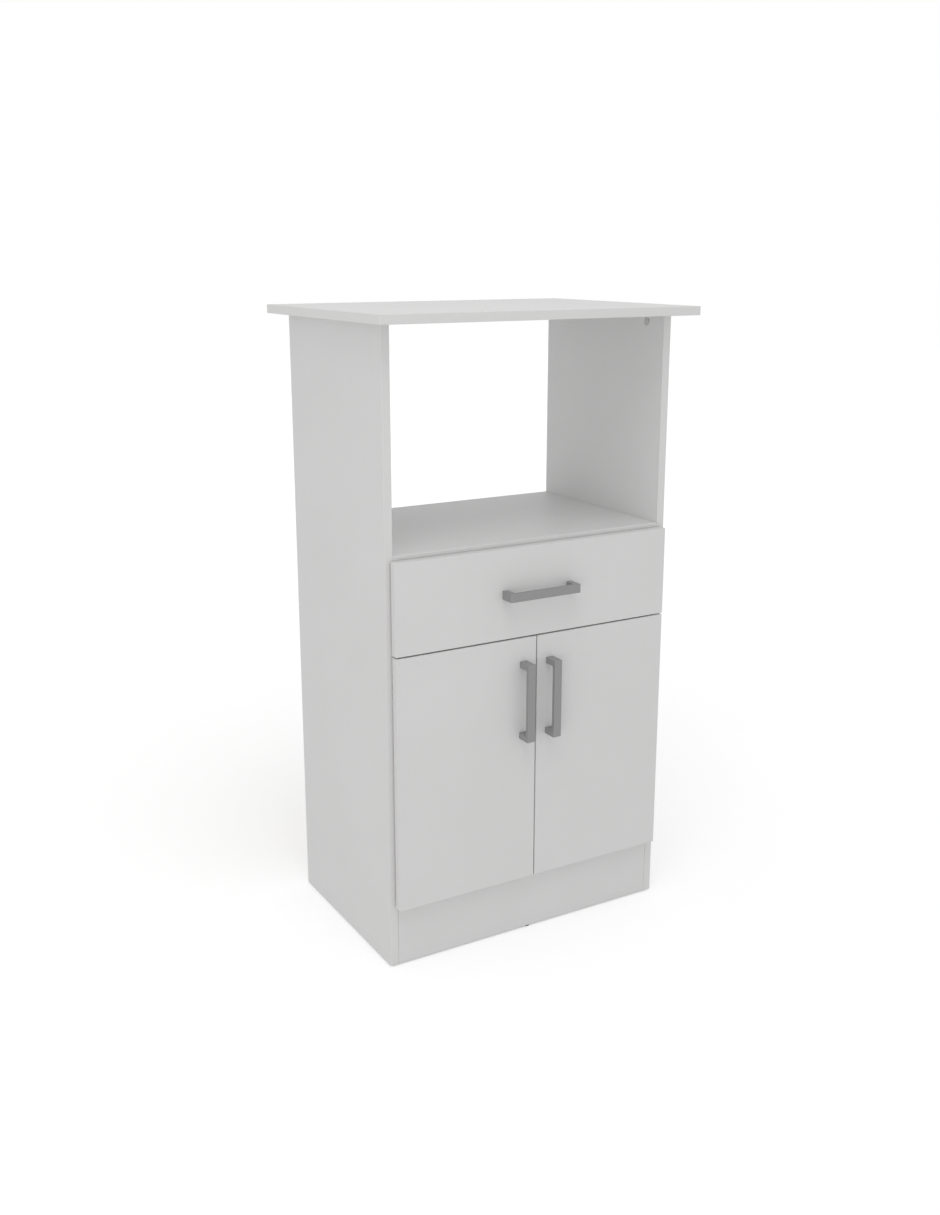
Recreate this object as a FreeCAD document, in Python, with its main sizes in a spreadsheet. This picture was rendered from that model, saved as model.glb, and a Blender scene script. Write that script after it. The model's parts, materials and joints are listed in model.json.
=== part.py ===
import FreeCAD, Part
import os
import re
import Sketcher

# A free-standing microwave cabinet: an open niche under a broad top, one drawer and two doors.
# X runs to the right, Y to the back and Z up. The origin lies on the floor under the middle of the top.

# Driving sizes in millimetres
SIZES = {
    # boards of the carcass
    "top_width": "605",
    "top_depth": "445",
    "total_height": "1100",
    "board": "15",
    "edge_round": "1",
    "side_overhang": "24.4",
    "front_overhang": "47.5",
    "back_overhang": "39.5",
    "niche_height": "362.5",
    "kick_height": "100",
    "plinth_play": "0.15",
    "back_board": "3",
    "groove_depth": "6",
    "groove_inset": "10",
    "groove_play": "0.2",
    "shelf_level_share": "0.465",
    "shelf_setback": "30",
    "shelf_play": "1",
    "cut_overrun": "2",
    # fronts
    "front_board": "15",
    "front_gap": "2.6",
    "front_round": "1",
    "shelf_reveal": "7.5",
    "drawer_front_inset": "9.3",
    "drawer_front_height": "156",
    "row_gap": "2.5",
    "door_inset": "9.8",
    "meeting_gap": "2",
    "base_overlay": "6.5",
    # bow handles
    "handle_length": "139",
    "handle_width": "15",
    "handle_projection": "28",
    "handle_bar": "7",
    "handle_leg": "11",
    "handle_corner": "2.5",
    "handle_edge": "0.8",
    "handle_inset": "25.5",
    "handle_drop": "110.5",
    "handle_screw": "4",
    "handle_screw_bite": "12",
    "screw_head": "8",
    "screw_head_height": "2.4",
    # carcass fittings
    "cam_diameter": "15",
    "cam_depth": "12",
    "cam_drop": "13.2",
    "cam_inset": "48",
    "cam_reach": "24",
    "cam_slot": "1.6",
    "cam_slot_length": "9",
    "cam_slot_depth": "2",
    "bolt_thread": "7",
    "bolt_bite": "11",
    "bolt_neck": "5",
    "bolt_head": "7",
    "bolt_head_length": "3",
    "dowel_diameter": "8",
    "dowel_bite": "10",
    "dowel_reach": "20",
    "shelf_pin": "5",
    "shelf_pin_bite": "8",
    "shelf_pin_reach": "9",
    "shelf_pin_inset": "40",
    "glide_diameter": "12",
    "glide_height": "2",
    "glide_inset": "40",
    "glide_lip": "0.5",
    # drawer box
    "runner_space": "13",
    "drawer_board": "12",
    "drawer_headroom": "12",
    "drawer_lift": "15",
    "drawer_rear_room": "7.6",
    "drawer_bottom_lift": "12",
    "drawer_cam_depth": "9",
    "low_cam_share": "0.375",
    "high_cam_share": "0.79",
    "box_screw": "4",
    "box_screw_length": "40",
    "box_screw_head": "7.5",
    "box_screw_head_height": "2.5",
    # roller runners
    "runner_steel": "1.2",
    "runner_setback": "2",
    "runner_rear_room": "3",
    "track_height": "28",
    "track_gap": "1.3",
    "track_play": "1",
    "ledge_gap": "1.8",
    "foot_width": "10",
    "roller_room": "2.3",
    "roller_lift": "1.1",
    "roller_inset": "14",
    "roller_gap": "0.3",
    "roller_round": "1",
    "axle_diameter": "5",
    "axle_play": "0.05",
    "axle_collar": "8",
    "axle_head_width": "1",
    "runner_screw": "3.5",
    "runner_screw_bite": "11",
    "runner_screw_head": "6.5",
    "runner_screw_head_height": "1.4",
    "runner_screw_inset": "40",
    # one-pivot cup hinges
    "hinge_inset": "75",
    "cup_diameter": "35",
    "cup_skin": "2.4",
    "cup_wall": "1",
    "cup_edge": "3",
    "ear_width": "14",
    "ear_height": "15",
    "ear_steel": "1.2",
    "ear_offset": "9.5",
    "ear_spread": "21",
    "cup_screw": "3.5",
    "cup_screw_bite": "10",
    "cup_screw_head": "6.5",
    "cup_screw_head_height": "1.4",
    "pin_room": "3.5",
    "pin_floor_gap": "0.45",
    "pin_diameter": "2.2",
    "pin_end_gap": "0.2",
    "pin_play": "0.05",
    "eye_wall": "0.8",
    "arm_steel": "2",
    "arm_width": "12",
    "arm_reach": "13.5",
    "arm_crank": "6",
    "arm_screw": "5",
    "arm_screw_bite": "6",
    "arm_screw_head": "9",
    "arm_screw_head_height": "2",
    "plate_height": "8",
    "plate_length": "45",
    "plate_setback": "15",
    "plate_width": "16",
    "wing_steel": "2",
    "wing_length": "50",
    "wing_width": "16",
    "plate_screw_setback": "37",
    "plate_screw_spread": "32",
    "plate_screw": "4",
    "plate_screw_bite": "12",
    "plate_screw_head": "7",
    "plate_screw_head_height": "1.8",
}

doc = FreeCAD.newDocument("microwave_cabinet")
sheet = doc.addObject("Spreadsheet::Sheet", "Sizes")
for row, (alias, value) in enumerate(SIZES.items(), start=1):
    sheet.set(f"A{row}", alias)
    sheet.set(f"B{row}", value)
    sheet.setAlias(f"B{row}", alias)
doc.recompute()

# Levels and planes that several pieces share, written as sums of the driving sizes
TOP_UNDER = "(total_height - board)"
SHELF_TOP = f"({TOP_UNDER} - niche_height)"
SHELF_UNDER = f"({SHELF_TOP} - board)"
BASE_UNDER = "(glide_height + kick_height)"
BASE_TOP = f"({BASE_UNDER} + board)"
SIDE_FRONT = "(-top_depth / 2 + front_overhang)"
SIDE_BACK = "(top_depth / 2 - back_overhang)"
CARCASS_DEPTH = f"({SIDE_BACK} - {SIDE_FRONT})"
SIDE_OUTER = "(-top_width / 2 + side_overhang)"
SIDE_INNER = f"({SIDE_OUTER} + board)"
SIDE_MIDDLE = f"({SIDE_OUTER} + board / 2)"
INNER_WIDTH = f"(-2 * {SIDE_INNER})"
FRONT_BACK = f"({SIDE_FRONT} - front_gap)"
FRONT_FACE = f"({FRONT_BACK} - front_board)"
DRAWER_FRONT_TOP = f"({SHELF_TOP} - shelf_reveal)"
DRAWER_FRONT_BOTTOM = f"({DRAWER_FRONT_TOP} - drawer_front_height)"
DRAWER_FRONT_EDGE = f"({SIDE_OUTER} + drawer_front_inset)"
DOOR_TOP = f"({DRAWER_FRONT_BOTTOM} - row_gap)"
DOOR_BOTTOM = f"({BASE_TOP} - base_overlay)"
DOOR_EDGE = f"({SIDE_OUTER} + door_inset)"
BACK_REAR = f"({SIDE_BACK} - groove_inset)"
BACK_FACE = f"({BACK_REAR} - back_board)"
BOX_TOP = f"({SHELF_UNDER} - drawer_headroom)"
BOX_BOTTOM = f"({DRAWER_FRONT_BOTTOM} + drawer_lift)"
BOX_HEIGHT = f"({BOX_TOP} - {BOX_BOTTOM})"
BOX_OUTER = f"({SIDE_INNER} + runner_space)"
BOX_INNER = f"({BOX_OUTER} + drawer_board)"
BOX_MIDDLE = f"({BOX_OUTER} + drawer_board / 2)"
BOX_REAR = f"({BACK_FACE} - drawer_rear_room)"
BOX_DEPTH = f"({BOX_REAR} - {FRONT_BACK})"
SHELF_LEVEL = f"({BASE_TOP} + ({BOX_BOTTOM} - {BASE_TOP}) * shelf_level_share)"

ROTATIONS = {
    "x": FreeCAD.Rotation(FreeCAD.Vector(0, 1, 0), 90),
    "y": FreeCAD.Rotation(FreeCAD.Vector(1, 0, 0), -90),
    "z": FreeCAD.Rotation(),
}
NODES = []


def bound(text):
    """Point each size named in a sum at its cell."""
    return re.sub(r"[a-z_]+", lambda word: f"Sizes.{word[0]}" if word[0] in SIZES else word[0], text)


def amount(text):
    """Work out a sum of sizes as a plain number."""
    return float(sheet.evalExpression(bound(text)))


def bind(thing, **sums):
    """Bind properties to sums of sizes."""
    for name, text in sums.items():
        thing.setExpression(name, bound(text))
    return thing


def place(thing, spot):
    """Bind the three coordinates of a placement."""
    for axis, text in zip("xyz", spot):
        thing.setExpression(f"Placement.Base.{axis}", bound(text))
    return thing


def node(thing, label):
    """Name a finished sub-part and keep it for writing out."""
    thing.Label = label
    NODES.append(thing)
    return thing


def box(name, spot, size):
    thing = doc.addObject("Part::Box", name)
    bind(thing, Length=size[0], Width=size[1], Height=size[2])
    return place(thing, spot)


def rod(name, spot, axis, diameter, length):
    """A cylinder that starts at a spot and runs along the positive axis."""
    thing = doc.addObject("Part::Cylinder", name)
    bind(thing, Radius=f"({diameter}) / 2", Height=length)
    thing.Placement = FreeCAD.Placement(FreeCAD.Vector(), ROTATIONS[axis])
    return place(thing, spot)


def fuse(name, things):
    thing = doc.addObject("Part::MultiFuse", name)
    thing.Shapes = things
    return thing


def group(name, things):
    thing = doc.addObject("Part::Compound", name)
    thing.Links = things
    return thing


def cut(name, base, tools):
    thing = doc.addObject("Part::Cut", name)
    thing.Base = base
    thing.Tool = tools[0] if len(tools) == 1 else group(name + "_tools", tools)
    return thing


def mirrored(name, source):
    """The right-hand twin of a left-hand piece."""
    thing = doc.addObject("Part::Mirroring", name)
    thing.Source = source
    thing.Normal = FreeCAD.Vector(1, 0, 0)
    return thing


def both(name, left):
    """A left-hand group and its mirrored twin as one group."""
    return group(name, [left, mirrored(name + "_twin", left)])


def pair(left_label, right_label, source):
    """Name a left-hand piece and its mirrored twin as two sub-parts."""
    node(source, left_label)
    node(mirrored(right_label, source), right_label)


def plane_of(body, role):
    for feature in body.Origin.OriginFeatures:
        if feature.Role == role:
            return feature


def outline(body, name, role, corners):
    """A closed sketch of straight runs whose corners are bound to sums of sizes."""
    sketch = body.newObject("Sketcher::SketchObject", name)
    sketch.AttachmentSupport = [(plane_of(body, role), "")]
    sketch.MapMode = "FlatFace"
    points = [FreeCAD.Vector(amount(a), amount(b), 0) for a, b in corners]
    for index, point in enumerate(points):
        after = points[(index + 1) % len(points)]
        sketch.addGeometry(Part.LineSegment(point, after), False)
    for index in range(len(points)):
        before = (index - 1) % len(points)
        sketch.addConstraint(Sketcher.Constraint("Coincident", before, 2, index, 1))
    for index, (point, corner) in enumerate(zip(points, corners)):
        for kind, number, text in zip(("DistanceX", "DistanceY"), point, corner):
            rule = sketch.addConstraint(Sketcher.Constraint(kind, -1, 1, index, 1, number))
            sketch.setExpression(f"Constraints[{rule}]", bound(text))
    return sketch


def pad(body, sketch, length, midplane=False):
    feature = body.newObject("PartDesign::Pad", sketch.Name + "_pad")
    feature.Profile = sketch
    if midplane:
        feature.SideType = "Symmetric"
    bind(feature, Length=length)
    sketch.Visibility = False
    doc.recompute()
    return feature


def panel(name, spot, size, rounding):
    """A sawn board with banded, softly rounded edges."""
    body = doc.addObject("PartDesign::Body", name)
    width, depth, height = size
    corners = [("0", "0"), (width, "0"), (width, depth), ("0", depth)]
    feature = pad(body, outline(body, name + "_outline", "XY_Plane", corners), height)
    soft = body.newObject("PartDesign::Fillet", name + "_edges")
    soft.Base = (feature, [""])
    soft.UseAllEdges = True
    bind(soft, Radius=rounding)
    doc.recompute()
    return place(body, spot)


def along(axis, across, spot):
    """Shift a spot by a sum of sizes along one axis."""
    moved = list(spot)
    moved["xyz".index(axis)] = f"({moved['xyz'.index(axis)]} + {across})"
    return tuple(moved)


def centred(spot, size):
    """The low corner of a box of a given size about a spot."""
    return tuple(f"({middle} - ({length}) / 2)" for middle, length in zip(spot, size))


# Connecting fittings of the boards

def cam(name, spot, axis, sign, depth, shank):
    """A cam lock sunk flush into a board face, cut for its bolt, and the plain socket that it fills."""
    start = spot if sign > 0 else along(axis, f"-({depth})", spot)
    socket = rod(name + "_socket", start, axis, "cam_diameter", depth)
    slots = []
    for other in "xyz".replace(axis, ""):
        size = {letter: "cam_slot" for letter in "xyz"}
        size[other] = "cam_slot_length"
        size[axis] = "2 * cam_slot_depth"
        lengths = tuple(size[letter] for letter in "xyz")
        slots.append(box(f"{name}_slot_{other}", centred(spot, lengths), lengths))
    slotted = cut(name + "_slotted", socket, [fuse(name + "_cross", slots)])
    return cut(name, slotted, [shank]), socket


def bolt(name, spot, axis, sign, reach):
    """A cam bolt: its thread runs back from the joint into one board, its neck on into the other."""
    parts = []
    runs = [
        ("thread", "bolt_thread", "-bolt_bite", "0"),
        ("neck", "bolt_neck", "0", reach),
        ("head", "bolt_head", f"{reach} - bolt_head_length", reach),
    ]
    for part, diameter, low, high in runs:
        first = low if sign > 0 else f"-({high})"
        start = along(axis, f"({first})", spot)
        parts.append(rod(f"{name}_{part}", start, axis, diameter, f"({high}) - ({low})"))
    return fuse(name, parts)


def dowel(name, spot, axis, sign):
    """A wooden dowel: bitten into one board and reaching on into the other."""
    first = "-dowel_bite" if sign > 0 else "-dowel_reach"
    return rod(name, along(axis, f"({first})", spot), axis, "dowel_diameter", "dowel_bite + dowel_reach")


def screw(name, spot, axis, sign, shank, bite, head, head_height):
    """A screw whose head sits on the spot and whose shank runs along sign and axis."""
    shank_start = spot if sign > 0 else along(axis, f"-({bite})", spot)
    head_start = along(axis, f"-({head_height})", spot) if sign > 0 else spot
    parts = [
        rod(name + "_shank", shank_start, axis, shank, bite),
        rod(name + "_head", head_start, axis, head, head_height),
    ]
    return fuse(name, parts)


FRONT_FIX = f"({SIDE_FRONT} + cam_inset)"
REAR_FIX = f"({SIDE_BACK} - cam_inset)"
MIDDLE_FIX = f"(({SIDE_FRONT} + {SIDE_BACK}) / 2)"
KICK_MIDDLE = f"({SIDE_FRONT} + board / 2)"
RAIL_MIDDLE = f"({SIDE_BACK} - board / 2)"
KICK_LEVEL = "(glide_height + kick_height / 2)"


def carcass_fittings():
    """Left-hand cams, bolts and dowels of the top, the shelf, the base and the two plinth boards."""
    cams, bolts, dowels = [], [], []
    for end, place_y in (("front", FRONT_FIX), ("rear", REAR_FIX)):
        spot = (SIDE_INNER, place_y, f"({TOP_UNDER} - cam_drop)")
        bolts.append(bolt(f"top_bolt_{end}", (SIDE_MIDDLE, place_y, TOP_UNDER), "z", -1, "cam_drop"))
        cams.append(cam(f"top_cam_{end}", spot, "x", -1, "cam_depth", bolts[-1]))
    dowels.append(dowel("top_dowel", (SIDE_MIDDLE, MIDDLE_FIX, TOP_UNDER), "z", -1))
    for board_name, under in (("shelf", SHELF_UNDER), ("base", BASE_UNDER)):
        level = f"({under} + board / 2)"
        for end, place_y in (("front", FRONT_FIX), ("rear", REAR_FIX)):
            name = f"{board_name}_bolt_{end}"
            bolts.append(bolt(name, (SIDE_INNER, place_y, level), "x", 1, "cam_reach"))
            spot = (f"({SIDE_INNER} + cam_reach)", place_y, under)
            cams.append(cam(f"{board_name}_cam_{end}", spot, "z", 1, "cam_depth", bolts[-1]))
        dowels.append(dowel(f"{board_name}_dowel", (SIDE_INNER, MIDDLE_FIX, level), "x", 1))
    rails = (
        ("kick", KICK_MIDDLE, f"({SIDE_FRONT} + board)", -1),
        ("rail", RAIL_MIDDLE, f"({SIDE_BACK} - board)", 1),
    )
    for board_name, middle, face, sign in rails:
        level = f"({KICK_LEVEL} + dowel_diameter)"
        bolts.append(bolt(f"{board_name}_bolt", (SIDE_INNER, middle, level), "x", 1, "cam_reach"))
        spot = (f"({SIDE_INNER} + cam_reach)", face, level)
        cams.append(cam(f"{board_name}_cam", spot, "y", sign, "cam_depth", bolts[-1]))
        low = f"({KICK_LEVEL} - 2 * dowel_diameter)"
        dowels.append(dowel(f"{board_name}_dowel", (SIDE_INNER, middle, low), "x", 1))
    locks, sockets = zip(*cams)
    return [
        group("left_cams", list(locks)),
        group("left_sockets", list(sockets)),
        group("left_bolts", bolts),
        group("left_dowels", dowels),
    ]


left_cams, left_sockets, left_bolts, left_dowels = carcass_fittings()
node(both("all_cams", left_cams), "cam_locks")
cam_bolts = node(both("all_bolts", left_bolts), "cam_bolts")
wood_dowels = node(both("all_dowels", left_dowels), "dowels")
cam_sockets = both("all_sockets", left_sockets)
fittings = [cam_sockets, cam_bolts, wood_dowels]


# Shelf pins under the loose inner shelf

def shelf_pin(name, place_y):
    spot = (f"({SIDE_INNER} - shelf_pin_bite)", place_y, f"({SHELF_LEVEL} - shelf_pin / 2)")
    return rod(name, spot, "x", "shelf_pin", "shelf_pin_bite + shelf_pin_reach")


LOOSE_FRONT = f"({SIDE_FRONT} + shelf_setback)"
left_shelf_pins = group("left_shelf_pins", [
    shelf_pin("shelf_pin_front", f"({LOOSE_FRONT} + shelf_pin_inset)"),
    shelf_pin("shelf_pin_rear", f"({BACK_FACE} - shelf_pin_inset)"),
])
node(both("all_shelf_pins", left_shelf_pins), "shelf_pins")


# One-pivot cup hinges of the left door, one near each end

def edge_spot(from_edge, behind, level):
    """A spot given by its distance from the outer edge of the door and behind its back face."""
    return (f"({DOOR_EDGE} + {from_edge})", f"({FRONT_BACK} + {behind})", level)


HINGE_LEVELS = {"lower": f"({DOOR_BOTTOM} + hinge_inset)", "upper": f"({DOOR_TOP} - hinge_inset)"}
CUP_CENTRE = "(cup_edge + cup_diameter / 2)"
CUP_DEPTH = "(front_board - cup_skin)"
EYE_DIAMETER = "(pin_diameter + 2 * pin_play + 2 * eye_wall)"
PIN_EDGE = "(cup_edge + cup_wall + pin_room)"
PIN_DEPTH = f"({CUP_DEPTH} - cup_wall - pin_floor_gap - {EYE_DIAMETER} / 2)"
PIN_SKIN = "(cup_wall + pin_room - pin_diameter / 2)"
PIN_LENGTH = f"(2 * sqrt({PIN_SKIN} * (cup_diameter - {PIN_SKIN})) - 2 * pin_end_gap)"
ARM_NEAR = f"({PIN_EDGE} + arm_reach)"
ARM_SEAT = f"({SIDE_INNER} + plate_height)"
PLATE_FRONT = f"({SIDE_FRONT} + plate_setback)"


def hinge_pin(name, level):
    start = edge_spot(PIN_EDGE, f"-{PIN_DEPTH}", f"({level} - {PIN_LENGTH} / 2)")
    return rod(name, start, "z", "pin_diameter", PIN_LENGTH)


def hinge_cup(name, level, pin):
    """A pressed cup with two screw ears, drilled for the hinge pin."""
    floor = edge_spot(CUP_CENTRE, f"-{CUP_DEPTH}", level)
    outer = rod(name + "_outer", floor, "y", "cup_diameter", CUP_DEPTH)
    inner = rod(name + "_inner", along("y", "cup_wall", floor), "y", "cup_diameter - 2 * cup_wall", CUP_DEPTH)
    shell = cut(name + "_shell", outer, [inner])
    ears = []
    for sign in "+-":
        spot = edge_spot(f"{CUP_CENTRE} + ear_offset", "ear_steel / 2", f"({level} {sign} ear_spread)")
        size = ("ear_width", "ear_steel", "ear_height")
        ears.append(box(f"{name}_ear_{'over' if sign == '+' else 'under'}", centred(spot, size), size))
    return cut(name + "_pressing", fuse(name + "_blank", [shell] + ears), [pin])


def hinge_cup_screws(name, level):
    screws = []
    for word, sign in (("over", "+"), ("under", "-")):
        spot = edge_spot(f"{CUP_CENTRE} + ear_offset", "ear_steel", f"({level} {sign} ear_spread)")
        sizes = ("cup_screw", "cup_screw_bite", "cup_screw_head", "cup_screw_head_height")
        screws.append(screw(f"{name}_{word}", spot, "y", -1, *sizes))
    return screws


def hinge_arm(name, level):
    """A swan-neck arm: an eye on the pin, a neck across the cup, a riser, a crank and a straight leg."""
    low = f"({level} - arm_width / 2)"
    arm_far = f"({ARM_NEAR} + arm_steel)"
    neck_front = f"(-{PIN_DEPTH} - arm_steel / 2)"
    neck_rear = f"(-{PIN_DEPTH} + arm_steel / 2)"
    crank_far = "(arm_crank + arm_steel)"
    seat_edge = f"({ARM_SEAT} - {DOOR_EDGE})"
    leg_end = f"({PLATE_FRONT} + plate_length - {FRONT_BACK})"
    runs = {
        "neck": (PIN_EDGE, arm_far, neck_front, neck_rear),
        "riser": (ARM_NEAR, arm_far, neck_front, crank_far),
        "crank": (seat_edge, arm_far, "arm_crank", crank_far),
        "leg": (seat_edge, f"{seat_edge} + arm_steel", "arm_crank", leg_end),
    }
    parts = [rod(name + "_eye", edge_spot(PIN_EDGE, f"-{PIN_DEPTH}", low), "z", EYE_DIAMETER, "arm_width")]
    for part, (near, far, front, rear) in runs.items():
        size = (f"({far}) - ({near})", f"({rear}) - ({front})", "arm_width")
        parts.append(box(f"{name}_{part}", edge_spot(near, f"({front})", low), size))
    bore_start = edge_spot(PIN_EDGE, f"-{PIN_DEPTH}", f"({low} - cut_overrun)")
    bore = rod(name + "_bore", bore_start, "z", "pin_diameter + 2 * pin_play", "arm_width + 2 * cut_overrun")
    return cut(name + "_bent", fuse(name + "_blank", parts), [bore])


def hinge_arm_screw(name, level):
    spot = (f"({ARM_SEAT} + arm_steel)", f"({PLATE_FRONT} + plate_length - plate_width / 2)", level)
    sizes = ("arm_screw", "arm_screw_bite", "arm_screw_head", "arm_screw_head_height")
    return screw(name, spot, "x", -1, *sizes)


def hinge_plate(name, level):
    """A cross-shaped mounting plate: a raised bar for the arm and two screwed wings."""
    bar = box(
        name + "_bar",
        (SIDE_INNER, PLATE_FRONT, f"({level} - plate_width / 2)"),
        ("plate_height", "plate_length", "plate_width"),
    )
    wing_front = f"({SIDE_FRONT} + plate_screw_setback - wing_width / 2)"
    wings = box(
        name + "_wings",
        (SIDE_INNER, wing_front, f"({level} - wing_length / 2)"),
        ("wing_steel", "wing_width", "wing_length"),
    )
    return fuse(name + "_cross", [bar, wings])


def hinge_plate_screws(name, level):
    screws = []
    for word, sign in (("over", "+"), ("under", "-")):
        spot = (
            f"({SIDE_INNER} + wing_steel)",
            f"({SIDE_FRONT} + plate_screw_setback)",
            f"({level} {sign} plate_screw_spread / 2)",
        )
        sizes = ("plate_screw", "plate_screw_bite", "plate_screw_head", "plate_screw_head_height")
        screws.append(screw(f"{name}_{word}", spot, "x", -1, *sizes))
    return screws


HINGE_KINDS = ("pin", "cup", "cup_screw", "arm", "arm_screw", "plate", "plate_screw", "recess")
hinge = {kind: [] for kind in HINGE_KINDS}
for end, level in HINGE_LEVELS.items():
    pin = hinge_pin(f"{end}_pin", level)
    hinge["pin"].append(pin)
    hinge["cup"].append(hinge_cup(f"{end}_cup", level, pin))
    hinge["cup_screw"] += hinge_cup_screws(f"{end}_cup_screw", level)
    hinge["arm"].append(hinge_arm(f"{end}_arm", level))
    hinge["arm_screw"].append(hinge_arm_screw(f"{end}_arm_screw", level))
    hinge["plate"].append(hinge_plate(f"{end}_plate", level))
    hinge["plate_screw"] += hinge_plate_screws(f"{end}_plate_screw", level)
    recess_start = edge_spot(CUP_CENTRE, f"-{CUP_DEPTH}", level)
    recess_length = f"{CUP_DEPTH} + cut_overrun"
    hinge["recess"].append(rod(f"{end}_recess", recess_start, "y", "cup_diameter", recess_length))

left_pins = group("left_pins", hinge["pin"])
left_cup_screws = group("left_cup_screw_set", hinge["cup_screw"])
left_arm_screws = group("left_arm_screw_set", hinge["arm_screw"])
left_plate_screws = group("left_plate_screw_set", hinge["plate_screw"])
pair("left_hinge_pins", "right_hinge_pins", left_pins)
pair("left_cup_screws", "right_cup_screws", left_cup_screws)
cups = cut("left_cups", group("left_cup_pair", hinge["cup"]), [left_cup_screws])
pair("left_hinge_cups", "right_hinge_cups", cups)
arms = cut("left_arms", group("left_arm_pair", hinge["arm"]), [left_arm_screws])
pair("left_hinge_arms", "right_hinge_arms", arms)
plates = cut("left_plates", group("left_plate_pair", hinge["plate"]), [left_arm_screws, left_plate_screws])
pair("left_hinge_plates", "right_hinge_plates", plates)
node(both("all_arm_screws", left_arm_screws), "hinge_arm_screws")
node(both("all_plate_screws", left_plate_screws), "hinge_plate_screws")


# Roller runners of the drawer, left hand

RUNNER_FRONT = f"({SIDE_FRONT} + runner_setback)"
LEDGE_TOP = f"({BOX_BOTTOM} + track_height - runner_steel - track_play)"
LEDGE_UNDER = f"({LEDGE_TOP} - runner_steel)"
TRACK_FLOOR = f"({BOX_BOTTOM} + runner_steel)"
TRACK_WEB = f"({SIDE_INNER} + runner_steel)"
WEB_FACE = f"({BOX_OUTER} - runner_steel)"
RUNNER_LENGTH = f"({BACK_FACE} - runner_rear_room - {RUNNER_FRONT})"
ROLLER_NEAR = f"({TRACK_WEB} + roller_room)"
ROLLER_FAR = f"({WEB_FACE} - roller_room)"
ROLLER_DIAMETER = f"({LEDGE_UNDER} - roller_gap - roller_lift - {TRACK_FLOOR})"
FRONT_ROLLER = (f"({RUNNER_FRONT} + roller_inset)", f"({LEDGE_UNDER} - roller_gap - {ROLLER_DIAMETER} / 2)")
REAR_ROLLER = (f"({BOX_REAR} - roller_inset)", f"({TRACK_FLOOR} + roller_gap + {ROLLER_DIAMETER} / 2)")


def folded_steel(name, start_y, corners, length):
    """A strip of folded steel whose section is drawn across X and Z and runs along Y."""
    body = doc.addObject("PartDesign::Body", name)
    sketch = outline(body, name + "_section", "XZ_Plane", corners)
    feature = pad(body, sketch, length)
    feature.Reversed = True
    return place(body, ("0", start_y, "0"))


def cabinet_runner():
    """A C-shaped track fixed to the side, open towards the drawer."""
    far = f"({WEB_FACE} - track_gap)"
    top = f"({BOX_BOTTOM} + track_height)"
    corners = [
        (SIDE_INNER, BOX_BOTTOM),
        (far, BOX_BOTTOM),
        (far, TRACK_FLOOR),
        (TRACK_WEB, TRACK_FLOOR),
        (TRACK_WEB, f"({top} - runner_steel)"),
        (far, f"({top} - runner_steel)"),
        (far, top),
        (SIDE_INNER, top),
    ]
    return folded_steel("cabinet_track", RUNNER_FRONT, corners, RUNNER_LENGTH)


def drawer_runner():
    """A Z-shaped rail: a foot under the drawer side, a web beside it and a ledge over the front roller."""
    foot_end = f"({BOX_OUTER} + foot_width)"
    ledge_end = f"({TRACK_WEB} + ledge_gap)"
    under = f"({BOX_BOTTOM} - runner_steel)"
    corners = [
        (WEB_FACE, under),
        (foot_end, under),
        (foot_end, BOX_BOTTOM),
        (BOX_OUTER, BOX_BOTTOM),
        (BOX_OUTER, LEDGE_TOP),
        (ledge_end, LEDGE_TOP),
        (ledge_end, LEDGE_UNDER),
        (WEB_FACE, LEDGE_UNDER),
    ]
    return folded_steel("drawer_rail", FRONT_BACK, corners, BOX_DEPTH)


def roller(name, spot):
    """A nylon roller turned to a section with rounded treads and a running bore."""
    body = doc.addObject("PartDesign::Body", name)
    place_y, place_z = spot
    bore = "(axle_diameter / 2 + axle_play)"
    tread = f"({ROLLER_DIAMETER} / 2)"
    width = f"({ROLLER_FAR} - {ROLLER_NEAR})"
    corners = [("0", bore), ("0", tread), (width, tread), (width, bore)]
    sketch = outline(body, name + "_section", "XZ_Plane", corners)
    turned = body.newObject("PartDesign::Revolution", name + "_turned")
    turned.Profile = sketch
    turned.ReferenceAxis = (sketch, ["H_Axis"])
    doc.recompute()
    treads = [
        f"Edge{index}"
        for index, edge in enumerate(turned.Shape.Edges, start=1)
        if len(edge.Vertexes) == 1 and abs(edge.Curve.Radius - amount(tread)) < amount("axle_play")
    ]
    soft = body.newObject("PartDesign::Fillet", name + "_treads")
    soft.Base = (turned, treads)
    bind(soft, Radius="roller_round")
    doc.recompute()
    return place(body, (ROLLER_NEAR, place_y, place_z))


def axle(name, spot, root, tip, collar, head):
    """A riveted axle along X: a shank from root to tip, a collar at the web and a head beyond the roller."""
    place_y, place_z = spot
    runs = [
        ("shank", "axle_diameter", root, tip),
        ("collar", "axle_collar") + collar,
        ("head", "axle_collar") + head,
    ]
    parts = []
    for part, diameter, low, high in runs:
        parts.append(rod(f"{name}_{part}", (low, place_y, place_z), "x", diameter, f"({high}) - ({low})"))
    return fuse(name, parts)


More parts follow.
